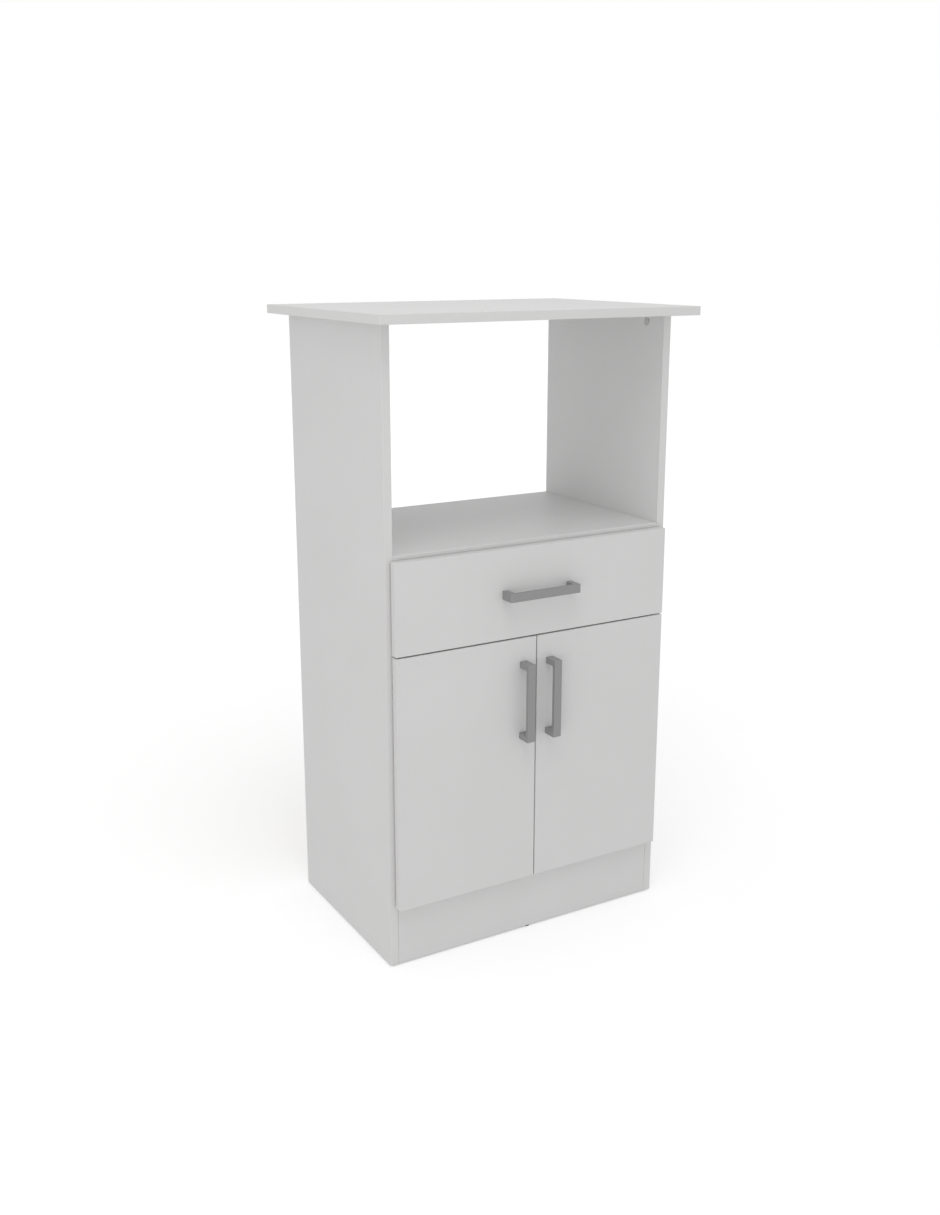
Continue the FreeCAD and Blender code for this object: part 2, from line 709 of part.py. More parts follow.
front_axle = axle(
    "front_axle", FRONT_ROLLER, SIDE_INNER, f"({ROLLER_FAR} + roller_gap)",
    (TRACK_WEB, f"({ROLLER_NEAR} - roller_gap)"),
    (f"({ROLLER_FAR} + roller_gap)", f"({ROLLER_FAR} + roller_gap + axle_head_width)"),
)
rear_axle = axle(
    "rear_axle", REAR_ROLLER, f"({ROLLER_NEAR} - roller_gap)", BOX_OUTER,
    (f"({ROLLER_FAR} + roller_gap)", WEB_FACE),
    (f"({ROLLER_NEAR} - roller_gap - axle_head_width)", f"({ROLLER_NEAR} - roller_gap)"),
)
node(both("front_axles", front_axle), "front_roller_axles")
node(both("rear_axles", rear_axle), "rear_roller_axles")
pair("left_front_roller", "right_front_roller", roller("front_wheel", FRONT_ROLLER))
pair("left_rear_roller", "right_rear_roller", roller("rear_wheel", REAR_ROLLER))


def runner_screws():
    """Screws of the left track into the side, and of the left rail up into the drawer side."""
    track, rail = [], []
    sizes = ("runner_screw", "runner_screw_bite", "runner_screw_head", "runner_screw_head_height")
    level = f"({LEDGE_UNDER} - track_play - runner_screw_head / 2)"
    steps = {
        "front": "runner_screw_inset",
        "middle": f"{RUNNER_LENGTH} / 2",
        "rear": f"({RUNNER_LENGTH} - runner_screw_inset)",
    }
    for word, step in steps.items():
        spot = (TRACK_WEB, f"({RUNNER_FRONT} + {step})", level)
        track.append(screw(f"track_screw_{word}", spot, "x", -1, *sizes))
        foot = (BOX_MIDDLE, f"({FRONT_BACK} + {step})", f"({BOX_BOTTOM} - runner_steel)")
        rail.append(screw(f"rail_screw_{word}", foot, "z", 1, *sizes))
    return group("left_track_screws", track), group("left_rail_screws", rail)


track_screws, rail_screws = runner_screws()
node(both("all_track_screws", track_screws), "cabinet_runner_screws")
node(both("all_rail_screws", rail_screws), "drawer_runner_screws")
track = cut("left_track", cabinet_runner(), [track_screws, front_axle])
pair("left_cabinet_runner", "right_cabinet_runner", track)
rail = cut("left_rail", drawer_runner(), [rail_screws, rear_axle])
pair("left_drawer_runner", "right_drawer_runner", rail)


# Boards of the carcass

# Grooves for the thin back, as wide as the back and its play
SLOT_FRONT = f"({BACK_FACE} - groove_play)"
SLOT_WIDTH = "(back_board + 2 * groove_play)"
SLOT_LOW = f"({BASE_TOP} - groove_depth)"
SLOT_HIGH = f"({SHELF_UNDER} + groove_depth)"
SLOT_HEIGHT = f"({SLOT_HIGH} - {SLOT_LOW})"

side_slot = box(
    "side_slot", (f"({SIDE_INNER} - groove_depth)", SLOT_FRONT, SLOT_LOW),
    ("groove_depth + cut_overrun", SLOT_WIDTH, SLOT_HEIGHT),
)
side_board = panel(
    "side_board", (SIDE_OUTER, SIDE_FRONT, "glide_height"),
    ("board", CARCASS_DEPTH, f"{TOP_UNDER} - glide_height"), "edge_round",
)
side_tools = [left_sockets, left_bolts, left_dowels, left_shelf_pins]
side_tools += [left_plate_screws, track_screws, side_slot]
pair("left_side", "right_side", cut("left_board", side_board, side_tools))

top_board = panel(
    "top_board", ("-top_width / 2", "-top_depth / 2", TOP_UNDER),
    ("top_width", "top_depth", "board"), "edge_round",
)
node(cut("top_drilled", top_board, [cam_bolts, wood_dowels]), "top_panel")

FULL_WIDTH_SLOT = (f"{INNER_WIDTH} + 2 * cut_overrun", SLOT_WIDTH, "groove_depth + cut_overrun")
SLOT_SIDE = f"({SIDE_INNER} - cut_overrun)"
shelf_slot = box("shelf_slot", (SLOT_SIDE, SLOT_FRONT, f"({SHELF_UNDER} - cut_overrun)"), FULL_WIDTH_SLOT)
base_slot = box("base_slot", (SLOT_SIDE, SLOT_FRONT, SLOT_LOW), FULL_WIDTH_SLOT)
shelf_board = panel(
    "shelf_board", (SIDE_INNER, SIDE_FRONT, SHELF_UNDER), (INNER_WIDTH, CARCASS_DEPTH, "board"), "edge_round",
)
node(cut("shelf_drilled", shelf_board, fittings + [shelf_slot]), "niche_shelf")
base_board = panel(
    "base_board", (SIDE_INNER, SIDE_FRONT, BASE_UNDER), (INNER_WIDTH, CARCASS_DEPTH, "board"), "edge_round",
)
node(cut("base_drilled", base_board, fittings + [base_slot]), "base_panel")

PLINTH_END = f"({SIDE_INNER} + plinth_play)"
PLINTH_SIZE = (f"{INNER_WIDTH} - 2 * plinth_play", "board", "kick_height")
kick_board = panel("kick_board", (PLINTH_END, SIDE_FRONT, "glide_height"), PLINTH_SIZE, "edge_round")
node(cut("kick_drilled", kick_board, fittings), "kick_plate")
rail_spot = (PLINTH_END, f"({SIDE_BACK} - board)", "glide_height")
rail_board = panel("rail_board", rail_spot, PLINTH_SIZE, "edge_round")
node(cut("rail_drilled", rail_board, fittings), "rear_rail")

back_sheet = box(
    "back_sheet",
    (f"({SIDE_INNER} - groove_depth + groove_play)", BACK_FACE, f"({SLOT_LOW} + groove_play)"),
    (f"{INNER_WIDTH} + 2 * groove_depth - 2 * groove_play", "back_board", f"{SLOT_HEIGHT} - 2 * groove_play"),
)
node(back_sheet, "back_panel")

loose_board = panel(
    "loose_board", (f"({SIDE_INNER} + shelf_play)", LOOSE_FRONT, SHELF_LEVEL),
    (f"{INNER_WIDTH} - 2 * shelf_play", f"{BACK_FACE} - shelf_play - {LOOSE_FRONT}", "board"), "edge_round",
)
node(loose_board, "inner_shelf")


def glide(name, place_x, place_y):
    return rod(name, (place_x, place_y, "0"), "z", "glide_diameter", "glide_height")


GLIDE_FRONT = f"({SIDE_FRONT} + glide_lip + glide_diameter / 2)"
left_glides = group("left_glides", [
    glide("side_glide_front", SIDE_MIDDLE, f"({SIDE_FRONT} + glide_inset)"),
    glide("side_glide_rear", SIDE_MIDDLE, f"({SIDE_BACK} - glide_inset)"),
])
middle_glides = [glide("kick_glide", "0", GLIDE_FRONT), glide("rail_glide", "0", RAIL_MIDDLE)]
node(group("all_glides", [both("side_glides", left_glides)] + middle_glides), "glides")


# Bow handles with their screws; edges farther out than this share of the projection are rounded
PROUD_SHARE = 0.25


def handle(name, spot, upright):
    """A flat bow: two legs and a bar, with rounded corners and softened edges."""
    body = doc.addObject("PartDesign::Body", name)
    end = "(handle_length / 2)"
    leg = f"({end} - handle_leg)"
    bar = "(-handle_projection + handle_bar)"
    corners = [
        (f"-{end}", "0"), (f"-{end}", "-handle_projection"), (end, "-handle_projection"), (end, "0"),
        (leg, "0"), (leg, bar), (f"-{leg}", bar), (f"-{leg}", "0"),
    ]
    feature = pad(body, outline(body, name + "_bow", "XY_Plane", corners), "handle_width", midplane=True)
    proud = amount("handle_projection") * PROUD_SHARE
    bends = [
        f"Edge{index}"
        for index, edge in enumerate(feature.Shape.Edges, start=1)
        if edge.BoundBox.ZLength > proud and edge.BoundBox.Center.y < -proud
    ]
    bent = body.newObject("PartDesign::Fillet", name + "_bends")
    bent.Base = (feature, bends)
    bind(bent, Radius="handle_corner")
    doc.recompute()
    rims = [
        f"Edge{index}"
        for index, edge in enumerate(bent.Shape.Edges, start=1)
        if edge.BoundBox.ZLength < proud and edge.BoundBox.YMin < -proud
    ]
    soft = body.newObject("PartDesign::Fillet", name + "_rims")
    soft.Base = (bent, rims)
    bind(soft, Radius="handle_edge")
    doc.recompute()
    if upright:
        body.Placement = FreeCAD.Placement(FreeCAD.Vector(), FreeCAD.Rotation(FreeCAD.Vector(0, 1, 0), 90))
    return place(body, spot)


HANDLE_STEP = "(handle_length / 2 - handle_leg / 2)"
HANDLE_SCREW = ("handle_screw", "front_board + handle_screw_bite", "screw_head", "screw_head_height")


def handle_screws(name, middle, axis):
    screws = []
    for word, sign in (("low", "-"), ("high", "+")):
        spot = along(axis, f"({sign}{HANDLE_STEP})", middle)
        screws.append(screw(f"{name}_{word}", spot, "y", -1, *HANDLE_SCREW))
    return group(name, screws)


DRAWER_HANDLE_LEVEL = f"(({DRAWER_FRONT_TOP} + {DRAWER_FRONT_BOTTOM}) / 2)"
DOOR_HANDLE_LEVEL = f"({DOOR_TOP} - handle_drop)"
DOOR_HANDLE_SIDE = "(-meeting_gap / 2 - handle_inset)"
drawer_screws = handle_screws("drawer_bow_screws", ("0", FRONT_BACK, DRAWER_HANDLE_LEVEL), "x")
door_screws = handle_screws("door_bow_screws", (DOOR_HANDLE_SIDE, FRONT_BACK, DOOR_HANDLE_LEVEL), "z")
node(drawer_screws, "drawer_handle_screws")
pair("left_handle_screws", "right_handle_screws", door_screws)
drawer_bow = handle("drawer_bow", ("0", FRONT_FACE, DRAWER_HANDLE_LEVEL), upright=False)
node(cut("drawer_bow_tapped", drawer_bow, [drawer_screws]), "drawer_handle")
door_bow = handle("door_bow", (DOOR_HANDLE_SIDE, FRONT_FACE, DOOR_HANDLE_LEVEL), upright=True)
pair("left_door_handle", "right_door_handle", cut("door_bow_tapped", door_bow, [door_screws]))


# Doors

door_board = panel(
    "door_board", (DOOR_EDGE, FRONT_FACE, DOOR_BOTTOM),
    (f"-meeting_gap / 2 - {DOOR_EDGE}", "front_board", f"{DOOR_TOP} - {DOOR_BOTTOM}"), "front_round",
)
door_tools = hinge["recess"] + [left_cup_screws, door_screws]
pair("left_door", "right_door", cut("door_drilled", door_board, door_tools))


# Drawer box

def drawer_fittings():
    """Left-hand cams and bolts of the drawer front, and screws of the drawer back."""
    cams, bolts, screws = [], [], []
    for word, share in (("low", "low_cam_share"), ("high", "high_cam_share")):
        level = f"({BOX_BOTTOM} + {BOX_HEIGHT} * {share})"
        bolts.append(bolt(f"box_bolt_{word}", (BOX_MIDDLE, FRONT_BACK, level), "y", 1, "cam_reach"))
        spot = (BOX_OUTER, f"({FRONT_BACK} + cam_reach)", level)
        cams.append(cam(f"box_cam_{word}", spot, "x", 1, "drawer_cam_depth", bolts[-1]))
        sunk = (f"({BOX_OUTER} + box_screw_head_height)", f"({BOX_REAR} - drawer_board / 2)", level)
        sizes = ("box_screw", "box_screw_length", "box_screw_head", "box_screw_head_height")
        screws.append(screw(f"box_screw_{word}", sunk, "x", 1, *sizes))
    locks, sockets = zip(*cams)
    return [
        group("box_cams", list(locks)),
        group("box_sockets", list(sockets)),
        group("box_bolts", bolts),
        group("box_screws", screws),
    ]


box_cams, box_sockets, box_bolts, box_screws = drawer_fittings()
node(both("all_box_cams", box_cams), "drawer_cams")
drawer_bolts = node(both("all_box_bolts", box_bolts), "drawer_bolts")
back_screws = node(both("all_box_screws", box_screws), "drawer_back_screws")

BOX_WIDTH = f"(-2 * {BOX_INNER})"
BOTTOM_UNDER = f"({BOX_BOTTOM} + drawer_bottom_lift)"
TRAY_FRONT = f"({FRONT_BACK} - groove_depth)"
TRAY_REAR = f"({BOX_REAR} - drawer_board + groove_depth)"
tray_slot = box(
    "tray_slot",
    (f"({BOX_INNER} - groove_depth)", TRAY_FRONT, f"({BOTTOM_UNDER} - groove_play)"),
    (f"{BOX_WIDTH} + 2 * groove_depth", f"{TRAY_REAR} - {TRAY_FRONT}", SLOT_WIDTH),
)
tray = box(
    "tray",
    (f"({BOX_INNER} - groove_depth + groove_play)", f"({TRAY_FRONT} + groove_play)", BOTTOM_UNDER),
    (
        f"{BOX_WIDTH} + 2 * groove_depth - 2 * groove_play",
        f"{TRAY_REAR} - {TRAY_FRONT} - 2 * groove_play",
        "back_board",
    ),
)
node(tray, "drawer_bottom")

box_side = panel(
    "box_side", (BOX_OUTER, FRONT_BACK, BOX_BOTTOM), ("drawer_board", BOX_DEPTH, BOX_HEIGHT), "edge_round",
)
box_side_tools = [box_sockets, box_bolts, box_screws, rail_screws, tray_slot]
pair("drawer_left_side", "drawer_right_side", cut("box_side_drilled", box_side, box_side_tools))

box_back = panel(
    "box_back", (BOX_INNER, f"({BOX_REAR} - drawer_board)", BOX_BOTTOM),
    (BOX_WIDTH, "drawer_board", BOX_HEIGHT), "edge_round",
)
node(cut("box_back_drilled", box_back, [back_screws, tray_slot]), "drawer_back")

face_board = panel(
    "face_board", (DRAWER_FRONT_EDGE, FRONT_FACE, DRAWER_FRONT_BOTTOM),
    (f"-2 * {DRAWER_FRONT_EDGE}", "front_board", "drawer_front_height"), "front_round",
)
node(cut("face_drilled", face_board, [drawer_screws, drawer_bolts, tray_slot]), "drawer_front")


# Every object is checked before a file is written

doc.recompute()
for thing in doc.Objects:
    if "Invalid" in thing.State or "Error" in thing.State:
        raise RuntimeError(f"{thing.Name} ({thing.Label}) failed: {thing.State}")
os.makedirs("parts", exist_ok=True)
for thing in NODES:
    shape = thing.Shape
    if shape.isNull() or not shape.isValid() or not shape.Solids:
        raise RuntimeError(f"{thing.Label} has no valid solid")
    shape.exportStep(f"parts/{thing.Label}.step")
    print(f"{thing.Label}: {len(shape.Solids)} solids, {shape.Volume:.0f} cubic millimetres")
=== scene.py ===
"""Looks of the microwave cabinet: melamine boards, grey bow handles, cup hinges and roller runners."""
import json
import math

import bmesh
import bpy
from mathutils import Matrix, Vector


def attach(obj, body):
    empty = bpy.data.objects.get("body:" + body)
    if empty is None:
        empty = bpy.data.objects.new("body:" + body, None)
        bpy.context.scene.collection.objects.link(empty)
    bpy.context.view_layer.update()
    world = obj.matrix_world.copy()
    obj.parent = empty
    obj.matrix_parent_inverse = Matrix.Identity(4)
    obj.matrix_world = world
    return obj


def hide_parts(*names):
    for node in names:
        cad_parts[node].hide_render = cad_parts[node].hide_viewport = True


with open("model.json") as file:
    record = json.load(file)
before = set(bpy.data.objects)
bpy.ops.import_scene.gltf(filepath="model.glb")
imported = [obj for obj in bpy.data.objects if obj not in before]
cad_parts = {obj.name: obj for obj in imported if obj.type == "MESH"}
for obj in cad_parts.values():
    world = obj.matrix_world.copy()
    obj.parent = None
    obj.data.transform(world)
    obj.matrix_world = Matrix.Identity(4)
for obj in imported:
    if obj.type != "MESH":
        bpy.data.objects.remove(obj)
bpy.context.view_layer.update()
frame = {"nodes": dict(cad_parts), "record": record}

NODES = frame["nodes"]
RECORD = frame["record"]
BODY_OF = {node: body for body, nodes in RECORD["behaviour"]["bodies"].items() for node in nodes}

X_AXIS = Vector((1, 0, 0))
Y_AXIS = Vector((0, 1, 0))
Z_AXIS = Vector((0, 0, 1))


# Shader helpers

# Places of the colour sockets on a mix node
FIRST_COLOUR = 6
SECOND_COLOUR = 7
MIXED_COLOUR = 2


def new_material(name):
    """A material with its node tree and its main shader."""
    material = bpy.data.materials.new(name)
    material.use_nodes = True
    return material, material.node_tree, material.node_tree.nodes["Principled BSDF"]


def add(tree, kind, inputs=(), **settings):
    """Add a node with its settings and the values of its unlinked inputs."""
    node = tree.nodes.new(kind)
    for name, value in settings.items():
        setattr(node, name, value)
    for name, value in dict(inputs).items():
        node.inputs[name].default_value = value
    return node


def new_group(name, inputs, outputs):
    """An empty shader group with named sockets, and its two ends."""
    tree = bpy.data.node_groups.new(name, "ShaderNodeTree")
    for label, kind, value in inputs:
        tree.interface.new_socket(label, in_out="INPUT", socket_type=kind).default_value = value
    for label, kind in outputs:
        tree.interface.new_socket(label, in_out="OUTPUT", socket_type=kind)
    return tree, tree.nodes.new("NodeGroupInput"), tree.nodes.new("NodeGroupOutput")


def use(tree, group, **inputs):
    """Place a shared effect in a material with its own values."""
    node = tree.nodes.new("ShaderNodeGroup")
    node.node_tree = group
    for name, value in inputs.items():
        node.inputs[name.title()].default_value = value
    return node


def mix_colours(tree, mask, first, second):
    """Mix two colours, each an output or a plain value, by a mask."""
    node = add(tree, "ShaderNodeMix", data_type="RGBA")
    tree.links.new(mask, node.inputs["Factor"])
    for place, colour in ((FIRST_COLOUR, first), (SECOND_COLOUR, second)):
        if isinstance(colour, bpy.types.NodeSocket):
            tree.links.new(colour, node.inputs[place])
        else:
            node.inputs[place].default_value = colour
    return node.outputs[MIXED_COLOUR]


def spread(tree, value, low, high):
    """Spread a mask from nought to one over a range of values."""
    node = add(tree, "ShaderNodeMapRange", {"To Min": low, "To Max": high})
    tree.links.new(value, node.inputs["Value"])
    return node.outputs["Result"]


def bump(tree, shader, height, strength, distance):
    """Raise a surface by a height that changes over it."""
    node = add(tree, "ShaderNodeBump", {"Strength": strength, "Distance": distance})
    tree.links.new(height, node.inputs["Height"])
    tree.links.new(node.outputs["Normal"], shader.inputs["Normal"])


def grey(level, warmth=0.0):
    """A near-neutral colour, a little warmer where asked."""
    return (level, level * (1 - warmth / 2), level * (1 - warmth), 1)


# Effects that several finishes share

CELL_SHARE = 0.5
SEAM_TURN = 0.94
SEAM_REACH = 0.045


def mottle_group():
    """Broad, cloudy change from one shade to another."""
    tree, start, end = new_group(
        "mottle",
        [("Scale", "NodeSocketFloat", 5.0), ("First", "NodeSocketColor", (1, 1, 1, 1)),
         ("Second", "NodeSocketColor", (0, 0, 0, 1))],
        [("Color", "NodeSocketColor"), ("Mask", "NodeSocketFloat")],
    )
    place = add(tree, "ShaderNodeTexCoord")
    cloud = add(tree, "ShaderNodeTexNoise", {"Detail": 4.0, "Roughness": 0.6})
    tree.links.new(place.outputs["Object"], cloud.inputs["Vector"])
    tree.links.new(start.outputs["Scale"], cloud.inputs["Scale"])
    even = add(tree, "ShaderNodeMapRange", {"From Min": 0.3, "From Max": 0.7})
    tree.links.new(cloud.outputs["Fac"], even.inputs["Value"])
    colour = mix_colours(tree, even.outputs["Result"], start.outputs["First"], start.outputs["Second"])
    tree.links.new(colour, end.inputs["Color"])
    tree.links.new(even.outputs["Result"], end.inputs["Mask"])
    return tree


def pebble_group():
    """The fine pressed or sprayed skin of a laminate, a paint or a moulding."""
    tree, start, end = new_group(
        "pebble", [("Scale", "NodeSocketFloat", 800.0)],
        [("Height", "NodeSocketFloat")],
    )
    place = add(tree, "ShaderNodeTexCoord")
    fine = add(tree, "ShaderNodeTexNoise", {"Detail": 2.0, "Roughness": 0.5})
    cells = add(tree, "ShaderNodeTexVoronoi", feature="SMOOTH_F1")
    both = add(tree, "ShaderNodeMath", operation="MULTIPLY_ADD")
    both.inputs[1].default_value = CELL_SHARE
    for texture in (fine, cells):
        tree.links.new(place.outputs["Object"], texture.inputs["Vector"])
        tree.links.new(start.outputs["Scale"], texture.inputs["Scale"])
    tree.links.new(cells.outputs["Distance"], both.inputs[0])
    tree.links.new(fine.outputs["Fac"], both.inputs[2])
    tree.links.new(both.outputs["Value"], end.inputs["Height"])
    return tree


def facing_group():
    """Masks of what faces one way along a direction, of what faces neither way, and of the turn between."""
    tree, start, end = new_group(
        "facing", [("Direction", "NodeSocketVector", (0, 0, 1))],
        [("One Side", "NodeSocketFloat"), ("Edge", "NodeSocketFloat"), ("Seam", "NodeSocketFloat")],
    )
    place = add(tree, "ShaderNodeTexCoord")
    dot = add(tree, "ShaderNodeVectorMath", operation="DOT_PRODUCT")
    tree.links.new(place.outputs["Normal"], dot.inputs[0])
    tree.links.new(start.outputs["Direction"], dot.inputs[1])
    side = add(tree, "ShaderNodeMapRange", {"From Min": 0.45, "From Max": 0.55})
    tree.links.new(dot.outputs["Value"], side.inputs["Value"])
    tree.links.new(side.outputs["Result"], end.inputs["One Side"])
    size = add(tree, "ShaderNodeMath", operation="ABSOLUTE")
    tree.links.new(dot.outputs["Value"], size.inputs[0])
    edge = add(tree, "ShaderNodeMapRange", {"From Min": 0.97, "From Max": 0.9})
    tree.links.new(size.outputs["Value"], edge.inputs["Value"])
    tree.links.new(edge.outputs["Result"], end.inputs["Edge"])
    seam = add(tree, "ShaderNodeMath", operation="COMPARE")
    seam.inputs[1].default_value = SEAM_TURN
    seam.inputs[2].default_value = SEAM_REACH
    tree.links.new(size.outputs["Value"], seam.inputs[0])
    tree.links.new(seam.outputs["Value"], end.inputs["Seam"])
    return tree


def drawn_group():
    """Fine lines left along a piece by rolling, drawing or brushing."""
    tree, start, end = new_group(
        "drawn", [("Stretch", "NodeSocketVector", (60, 2500, 2500))],
        [("Mask", "NodeSocketFloat")],
    )
    place = add(tree, "ShaderNodeTexCoord")
    long = add(tree, "ShaderNodeVectorMath", operation="MULTIPLY")
    lines = add(tree, "ShaderNodeTexNoise", {"Scale": 1.0, "Detail": 3.0})
    tree.links.new(place.outputs["Object"], long.inputs[0])
    tree.links.new(start.outputs["Stretch"], long.inputs[1])
    tree.links.new(long.outputs["Vector"], lines.inputs["Vector"])
    tree.links.new(lines.outputs["Fac"], end.inputs["Mask"])
    return tree


MOTTLE = mottle_group()
PEBBLE = pebble_group()
FACING = facing_group()
DRAWN = drawn_group()


# Finishes

WHITE = 0.72
DULL_FACE = grey(WHITE * 0.985, 0.008)
CLEAR_FACE = grey(WHITE * 1.015, 0.004)
EDGE_BAND = grey(WHITE * 1.01, 0.012)
BAND_SEAM = grey(WHITE * 0.55, 0.05)
DULL_LACQUER = grey(WHITE * 0.97, 0.02)
CLEAR_LACQUER = grey(WHITE, 0.012)
DULL_COAT = grey(WHITE * 0.98, 0.015)
CLEAR_COAT = grey(WHITE * 1.03, 0.01)
DULL_PLATING = grey(0.56, 0.02)
CLEAR_PLATING = grey(0.68, 0.01)
DULL_ZINC = grey(0.50, 0.01)
CLEAR_ZINC = grey(0.64)
DARK_FIBRE = (0.13, 0.078, 0.044, 1)
BROWN_FIBRE = (0.18, 0.108, 0.06, 1)
TAN_FIBRE = (0.25, 0.156, 0.092, 1)
PALE_FIBRE = (0.34, 0.22, 0.135, 1)
DARK_BEECH = (0.40, 0.24, 0.12, 1)
PALE_BEECH = (0.62, 0.42, 0.25, 1)
DULL_NYLON = (0.62, 0.61, 0.57, 1)
MILKY_NYLON = (0.70, 0.69, 0.65, 1)
BAND_ROUGHNESS = -0.1
MESH_SCALE = 240.0
MESH_WAVINESS = 0.6


def melamine(name, thin):
    """White melamine board: a finely pressed face, and a glossier band glued round its edges."""
    material, tree, shader = new_material(name)
    shade = use(tree, MOTTLE, scale=4.0, first=DULL_FACE, second=CLEAR_FACE)
    skin = use(tree, PEBBLE, scale=1400.0)
    turn = use(tree, FACING, direction=thin)
    banded = mix_colours(tree, turn.outputs["Edge"], shade.outputs["Color"], EDGE_BAND)
    seam = spread(tree, turn.outputs["Seam"], low=0.0, high=0.3)
    tree.links.new(mix_colours(tree, seam, banded, BAND_SEAM), shader.inputs["Base Color"])
    face_gloss = spread(tree, skin.outputs["Height"], low=0.42, high=0.52)
    gloss = add(tree, "ShaderNodeMath", operation="MULTIPLY_ADD")
    gloss.inputs[1].default_value = BAND_ROUGHNESS
    tree.links.new(turn.outputs["Edge"], gloss.inputs[0])
    tree.links.new(face_gloss, gloss.inputs[2])
    tree.links.new(gloss.outputs["Value"], shader.inputs["Roughness"])
    shader.inputs["Specular IOR Level"].default_value = 0.35
    bump(tree, shader, skin.outputs["Height"], strength=0.12, distance=0.0002)
    return material


def hardboard(name, raw_way, threads):
    """Thin hardboard: white lacquer on the seen face, brown fibre with the print of a wire mesh on the other."""
    material, tree, shader = new_material(name)
    lacquer = use(tree, MOTTLE, scale=9.0, first=DULL_LACQUER, second=CLEAR_LACQUER)
    broad = use(tree, MOTTLE, scale=8.0, first=BROWN_FIBRE, second=TAN_FIBRE)
    fibre = use(tree, MOTTLE, scale=480.0, second=PALE_FIBRE)
    tree.links.new(broad.outputs["Color"], fibre.inputs["First"])
    turn = use(tree, FACING, direction=raw_way)
    raw = turn.outputs["One Side"]
    place = add(tree, "ShaderNodeTexCoord")
    mesh = raw
    for thread in threads:
        waves = {"Scale": MESH_SCALE, "Distortion": MESH_WAVINESS}
        wire = add(tree, "ShaderNodeTexWave", waves, bands_direction=thread)
        pressed = add(tree, "ShaderNodeMath", operation="MULTIPLY")
        tree.links.new(place.outputs["Object"], wire.inputs["Vector"])
        tree.links.new(mesh, pressed.inputs[0])
        tree.links.new(wire.outputs["Fac"], pressed.inputs[1])
        mesh = pressed.outputs["Value"]
    printed = mix_colours(tree, spread(tree, mesh, low=0.45, high=1.2), DARK_FIBRE, fibre.outputs["Color"])
    tree.links.new(mix_colours(tree, raw, lacquer.outputs["Color"], printed), shader.inputs["Base Color"])
    tree.links.new(spread(tree, raw, low=0.4, high=0.85), shader.inputs["Roughness"])
    shader.inputs["Specular IOR Level"].default_value = 0.3
    bump(tree, shader, mesh, strength=0.5, distance=0.0003)
    return material


def skinned(name, shade, skin_scale, gloss, relief, constants=()):
    """A cloudy paint or plastic with a fine skin that breaks its gloss."""
    material, tree, shader = new_material(name)
    cloud = use(tree, MOTTLE, **shade)
    skin = use(tree, PEBBLE, scale=skin_scale)
    tree.links.new(cloud.outputs["Color"], shader.inputs["Base Color"])
    tree.links.new(spread(tree, skin.outputs["Height"], **gloss), shader.inputs["Roughness"])
    for label, value in dict(constants).items():
        shader.inputs[label].default_value = value
    bump(tree, shader, skin.outputs["Height"], **relief)
    return material


def plated_steel():
    """Bright plated steel with faint drawing lines and cloudy plating."""
    material, tree, shader = new_material("plated_steel")
    shade = use(tree, MOTTLE, scale=140.0, first=DULL_PLATING, second=CLEAR_PLATING)
    lines = use(tree, DRAWN, stretch=(900, 900, 90))
    tree.links.new(shade.outputs["Color"], shader.inputs["Base Color"])
    tree.links.new(spread(tree, lines.outputs["Mask"], low=0.18, high=0.42), shader.inputs["Roughness"])
    shader.inputs["Metallic"].default_value = 1.0
    bump(tree, shader, lines.outputs["Mask"], strength=0.06, distance=0.0001)
    return material


def zinc_casting():
    """Dull die-cast zinc with a blotchy skin."""
    material, tree, shader = new_material("zinc_casting")
    shade = use(tree, MOTTLE, scale=420.0, first=DULL_ZINC, second=CLEAR_ZINC)
    skin = use(tree, PEBBLE, scale=1800.0)
    tree.links.new(shade.outputs["Color"], shader.inputs["Base Color"])
    tree.links.new(spread(tree, shade.outputs["Mask"], low=0.62, high=0.44), shader.inputs["Roughness"])
    shader.inputs["Metallic"].default_value = 0.4
    bump(tree, shader, skin.outputs["Height"], strength=0.2, distance=0.0002)
    return material


def beech():
    """Plain beech of the dowels, with grain along the pegs that lie across the cabinet."""
    material, tree, shader = new_material("beech")
    lines = use(tree, DRAWN, stretch=(40, 900, 900))
    colour = mix_colours(tree, lines.outputs["Mask"], DARK_BEECH, PALE_BEECH)
    tree.links.new(colour, shader.inputs["Base Color"])
    tree.links.new(spread(tree, lines.outputs["Mask"], low=0.5, high=0.7), shader.inputs["Roughness"])
    bump(tree, shader, lines.outputs["Mask"], strength=0.2, distance=0.0002)
    return material


UPRIGHT_BOARD = melamine("melamine_upright", X_AXIS)
FRONT_BOARD = melamine("melamine_front", Y_AXIS)
LEVEL_BOARD = melamine("melamine_level", Z_AXIS)
BACK_SHEET = hardboard("hardboard_back", Y_AXIS, "XZ")
TRAY_SHEET = hardboard("hardboard_tray", -Z_AXIS, "XY")
HANDLE_PAINT = skinned(
    "satin_grey", shade={"scale": 2200.0, "first": grey(0.28), "second": grey(0.32)}, skin_scale=2600.0,
    gloss={"low": 0.4, "high": 0.55}, relief={"strength": 0.1, "distance": 0.0001},
    constants={"Metallic": 0.15, "Specular IOR Level": 0.4},
)
STEEL = plated_steel()
ZINC = zinc_casting()
RUNNER_COAT = skinned(
    "powder_coat", shade={"scale": 30.0, "first": DULL_COAT, "second": CLEAR_COAT}, skin_scale=700.0,
    gloss={"low": 0.3, "high": 0.42}, relief={"strength": 0.25, "distance": 0.0003},
)
